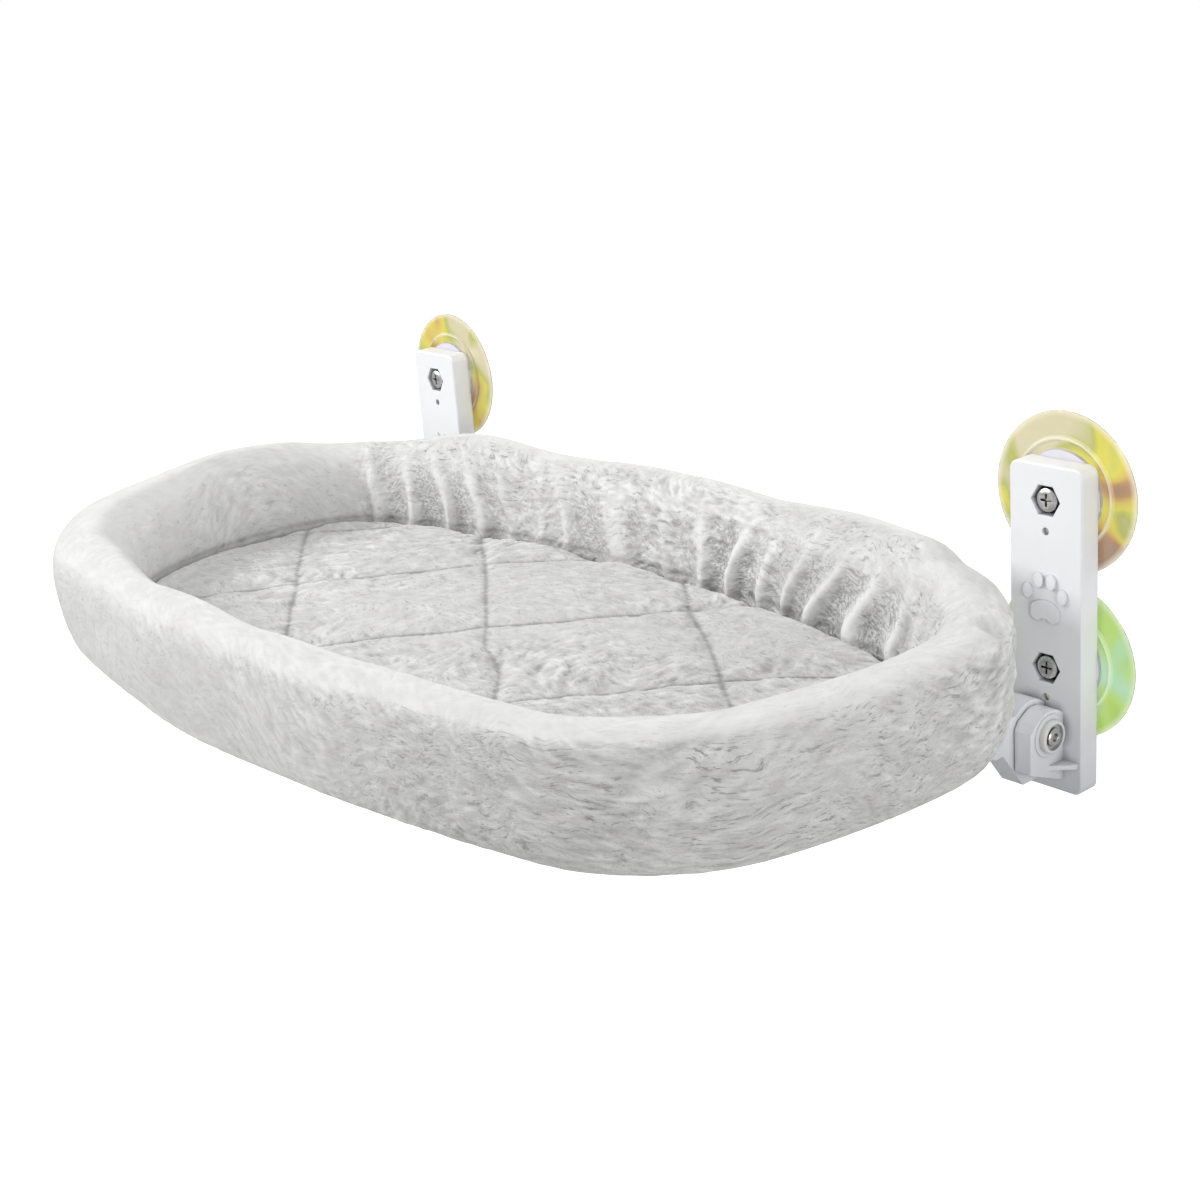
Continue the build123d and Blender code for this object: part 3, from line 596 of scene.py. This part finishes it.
def plush_rim():
    """The padded rim: a leaning roll round the oval, gathered down the inside of its rear wall, in pile."""
    bpy.ops.object.select_all(action="DESELECT")
    bpy.ops.mesh.primitive_grid_add(x_subdivisions=rim_over, y_subdivisions=rim_around, size=1)
    rim = bpy.context.object
    rim.name = "plush_rim"
    centre, outward, walk, girth = oval_line(rim_around)
    x, y, walk = centre[:, 0:1], centre[:, 1:2], walk[:, None]
    n, z, face_out, face_up, lap = rim_profile(x, y)
    inside = gentle(-face_out, -0.2, 0.6)
    crest = gentle(z, 0.045, 0.072)
    near_top = gentle(z, 0.058, 0.072)
    step = girth / rim_around
    grid = (rim_around, rim_over)
    rng = np.random.default_rng(rim_seed)
    ridges, strong, gathered, swell = gather(x, y, z, inside, crest, step, rng)

    # Soft unevenness of the filling, dents along the crest, a pinch at the right end, and the pile itself
    at_left = gentle(-x, 0.02, 0.24)
    calm = gentle(-x, -0.21, -0.04)
    lumps = wrapped_blur(rng.standard_normal(grid), 0.026 / step, 0.020 / step) * 0.0010 * (1 + 0.9 * at_left)
    dents = wrapped_blur(rng.standard_normal(grid), 0.012 / step, 0.012 / step) * 0.0002
    pinch = hump(walk, 0.027, 0.006) * hump(n, 0.016, 0.008) * crest
    pucker = hump(walk, 0.027, 0.020) * hump(n, 0.014, 0.012) * crest
    height, openness = tufts(rim_pile_seed, grid, step, 0.25, 0.55)

    # Where the pile lies sleek, above 0, and where it stands up woolly, below 0
    level = gentle(face_up, 0.35, 0.85)
    sleek = np.clip(0.9 * level * gentle(z, 0.04, 0.06) + 0.75 * calm, 0, 1)
    fluffed = strong * (1 - near_top)
    sleek = sleek * (1 - gathered) + np.clip(1.5 * ridges - 0.65, -0.65, 0.8) * fluffed
    sleek += 0.5 * gathered * near_top * (1 - level)
    sleek = np.clip(sleek, -0.8, 1)
    under = gentle(z, 0.002, 0.010)
    push = swell + (lumps + dents) * under + height * (1 - 0.8 * np.clip(sleek, 0, 1)) * (0.35 + 0.65 * under)
    push += 0.0012 * pucker - 0.0045 * pinch
    # Flattened where it lies against the uprights when folded up
    aside = np.abs(x)
    by_upright = gentle(aside, 0.195, 0.215) * (1 - gentle(aside, 0.264, 0.276)) * gentle(y, -0.115, -0.085)
    push -= upright_dent * by_upright * gentle(face_out, -0.4, 0.3) * gentle(z, 0.02, 0.05)
    across = n + face_out * push
    places = np.empty((*grid, 3))
    places[:, :, 0] = x + outward[:, 0][:, None] * across
    places[:, :, 1] = y + outward[:, 1][:, None] * across
    places[:, :, 2] = rim_bottom + z + face_up * push
    # Painted light and shade of the pile, kept as its pile attribute: darker in its partings, in the pinch
    # and where the pad meets the inner wall; lighter where the pile lies sleek, on the crest and on the
    # ridges of the gathers
    meeting = inside * hump(z, 0.0265, 0.0018)
    painted_pile_light_and_shade = 0.64 + (openness - usual_openness) * (1 - 0.7 * np.clip(sleek, 0, 1))
    painted_pile_light_and_shade += 0.10 * sleek + 0.08 * crest
    painted_pile_light_and_shade += (0.16 * ridges + 0.03) * fluffed - 0.35 * pinch - 0.45 * meeting
    painted_pile_light_and_shade = np.clip(painted_pile_light_and_shade, 0, 1)
    # The flat grid is rolled up both ways, and its meeting edges are welded
    seam = ((0, 1), (0, 1))
    move_points(rim, np.pad(places, (*seam, (0, 0)), mode="wrap").reshape(-1, 3))
    paint(rim, "pile", np.pad(painted_pile_light_and_shade, seam, mode="wrap"))
    paint(rim, "sleek", np.pad(sleek, seam, mode="wrap"))
    lay_cloth(rim, np.column_stack([
        np.repeat(np.arange(rim_around + 1) / rim_around * girth, rim_over + 1),
        np.tile(np.arange(rim_over + 1) / rim_over * lap, rim_around + 1),
    ]))
    bpy.ops.object.select_all(action="DESELECT")
    rim.select_set(True)
    bpy.context.view_layer.objects.active = rim
    bpy.ops.object.mode_set(mode="EDIT")
    bpy.ops.mesh.select_all(action="SELECT")
    bpy.ops.mesh.remove_doubles(threshold=1e-6)
    bpy.ops.mesh.normals_make_consistent(inside=False)
    bpy.ops.object.mode_set(mode="OBJECT")
    bpy.ops.object.shade_smooth()
    return rim


def plush_pad():
    """The floor pad: a crowned oval cushion, quilted in large squares set askew, covered in pile."""
    outline, outward, _, _ = oval_line(pad_points)
    outline = outline - outward * pad_inset
    bpy.ops.object.select_all(action="DESELECT")
    bpy.ops.mesh.primitive_circle_add(vertices=pad_points, radius=0.2, fill_type="NGON")
    pad = bpy.context.object
    pad.name = "plush_pad"
    move_points(pad, np.column_stack([outline, np.full(pad_points, rim_bottom + pad_foot_gap)]))
    bpy.ops.object.mode_set(mode="EDIT")
    bpy.ops.mesh.select_all(action="SELECT")
    bpy.ops.mesh.extrude_region_move(TRANSFORM_OT_translate={"value": (0, 0, pad_thickness - pad_crown_room)})
    bpy.ops.mesh.select_all(action="SELECT")
    bpy.ops.mesh.normals_make_consistent(inside=False)
    bpy.ops.object.mode_set(mode="OBJECT")
    round_over = pad.modifiers.new("round_over", "BEVEL")
    round_over.width = pad_rounding
    round_over.segments = 4
    even = pad.modifiers.new("even", "REMESH")
    even.mode = "VOXEL"
    even.voxel_size = pad_cell
    for name in ("round_over", "even"):
        bpy.ops.object.modifier_apply(modifier=name)

    places = points_of(pad)
    x, y, z = places.T
    middle = -(rim_rear_depth + rim_front_depth) / 2
    half_depth = (rim_front_depth - rim_rear_depth) / 2 - pad_inset
    edge = np.sqrt((x / (rim_half_length - pad_inset)) ** 2 + ((y - middle) / half_depth) ** 2)
    upper = gentle(z, rim_bottom + 0.004, rim_bottom + pad_thickness - 0.005)
    height, openness = tufts(pad_pile_seed, pad_net, pad_net_step, 0.5, 0.9)
    i = np.rint((x + pad_net_left) / pad_net_step).astype(int) % pad_net[0]
    j = np.rint((y + pad_net_front) / pad_net_step).astype(int) % pad_net[1]
    rng = np.random.default_rng(pad_seed)
    wobble = wrapped_blur(rng.standard_normal(pad_net), 18, 18)[i, j] * 0.0012
    pull = wrapped_blur(rng.standard_normal(pad_net), 4, 9)[i, j]
    # Distance to the nearest line of quilting, on both sets of lines
    nearest = np.full(len(x), 1.0)
    for turn in (quilt_angle, quilt_angle + pi / 2):
        off = -x * sin(turn) + (y - middle) * cos(turn) + wobble
        nearest = np.minimum(nearest, np.abs(off - np.round(off / quilt_pitch) * quilt_pitch))
    pillow = 1 - np.exp(-nearest / 0.011)
    puckers = np.exp(-nearest / 0.014) * (1 - np.exp(-nearest / 0.002)) * pull * pucker_height
    crown = pad_crown * np.clip(1 - edge**2, 0, 1)
    rise = crown - seam_depth * (1 - pillow) + puckers + height[i, j] * 0.8
    places[:, 2] = z + upper * rise
    move_points(pad, places)
    # Painted shade of the pile in its partings, kept as its pile attribute, and darker along the seams
    seam = hump(nearest, 0, seam_width)
    paint(pad, "pile", np.clip(openness[i, j] - 0.03 - 0.6 * seam * upper, 0, 1))
    paint(pad, "sleek", np.full(len(x), pad_sleekness))
    lay_cloth(pad, places[:, :2])
    bpy.ops.object.shade_smooth()
    return pad


# Studio: a pale flat floor and soft lights

def soft_light(name, place, target, size, power):
    lamp = bpy.data.lights.new(name, "AREA")
    lamp.shape = "RECTANGLE"
    lamp.size, lamp.size_y = size
    lamp.energy = power
    light = bpy.data.objects.new(name, lamp)
    bpy.context.scene.collection.objects.link(light)
    light.location = place
    light.rotation_euler = (Vector(target) - Vector(place)).to_track_quat("-Z", "Y").to_euler()


def studio():
    bpy.ops.object.select_all(action="DESELECT")
    bpy.ops.mesh.primitive_plane_add(size=floor_size, location=(0, 0, floor_height))
    floor = bpy.context.object
    floor.name = "studio_floor"
    # The floor and the room look white to the camera, also through the cups, but light the part only softly
    paper = Finish("studio_paper")
    rays = paper.add("ShaderNodeLightPath").outputs
    seen = paper.sum("ADD", rays["Is Camera Ray"], rays["Is Transmission Ray"])
    paper.surface(
        Base_Color=paper.ramp(paper.noise(3), (0.3, grey(0.36)), (0.7, grey(0.38))),
        Roughness=0.9,
        Emission_Color=(1, 1, 1, 1),
        Emission_Strength=paper.sum("ADD", paper.sum("MULTIPLY", seen, floor_seen_glow), floor_glow),
    )
    floor.data.materials.append(paper.material)
    world = bpy.data.worlds.new("soft_room")
    bpy.context.scene.world = world
    world.use_nodes = True
    room = world.node_tree
    light = room.nodes["Background"]
    light.inputs["Color"].default_value = (1, 1, 1, 1)
    glow = room.nodes.new("ShaderNodeMath")
    glow.operation = "MULTIPLY_ADD"
    rays = room.nodes.new("ShaderNodeLightPath").outputs
    seen = room.nodes.new("ShaderNodeMath")
    room.links.new(rays["Is Camera Ray"], seen.inputs[0])
    room.links.new(rays["Is Transmission Ray"], seen.inputs[1])
    room.links.new(seen.outputs[0], glow.inputs[0])
    glow.inputs[1].default_value = room_seen_glow
    glow.inputs[2].default_value = room_glow
    room.links.new(glow.outputs[0], light.inputs["Strength"])
    for name, place, target, size, power in studio_lights:
        soft_light(name, place, target, size, power)


place_camera()
studio()
bpy.context.scene.view_settings.view_transform = "Standard"

white = moulded_white("white_abs", (0.90, 0.91, 0.93), 0.28)
washer_white = moulded_white("washer_nylon", (0.84, 0.84, 0.83), 0.4)
steel = worked_metal("zinc_steel", (0.80, 0.79, 0.78), 0.24)
# Near-black metal for the washers at the floors of the screw recesses
near_black_finish = worked_metal("near_black_metal", (0.05, 0.05, 0.052), 0.42, 0.6)
brass = worked_metal("turned_brass", (0.75, 0.55, 0.24), 0.25)
tube = coated_tube()
board = woven_cloth("board_cloth", (0.30, 0.30, 0.31), (0.52, 0.52, 0.53), 0.0012)
strap = woven_cloth("strap_weave", (0.015, 0.015, 0.017), (0.07, 0.07, 0.075), 0.0016)
pvc = tinted_cup()
plush = plush_pile()

finishes = {
    "left_upright": white, "right_upright": white, "left_arm": white, "right_arm": white,
    "upper_right_cup": pvc, "lower_right_cup": pvc, "upper_left_cup": pvc, "lower_left_cup": pvc,
    "cup_inserts": brass, "cup_screws": steel, "pivot_nuts": steel,
    "front_spigot": steel, "frame_screws": steel,
    "left_pivot_bolt": steel, "right_pivot_bolt": steel, "screw_washers": near_black_finish,
    "left_pivot_washer": washer_white, "right_pivot_washer": washer_white,
    "left_leg_tube": tube, "right_leg_tube": tube, "rear_tube": tube,
    "base_board": board, "frame_straps": strap,
}
for name, finish in finishes.items():
    nodes[name].data.materials.clear()
    nodes[name].data.materials.append(finish)

rim = plush_rim()
pad = plush_pad()
for piece, node, fill in ((rim, "bolster", 0.8), (pad, "floor_pad", 0.6)):
    piece.data.materials.append(plush)
    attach(piece, "bed")
    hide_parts(node)
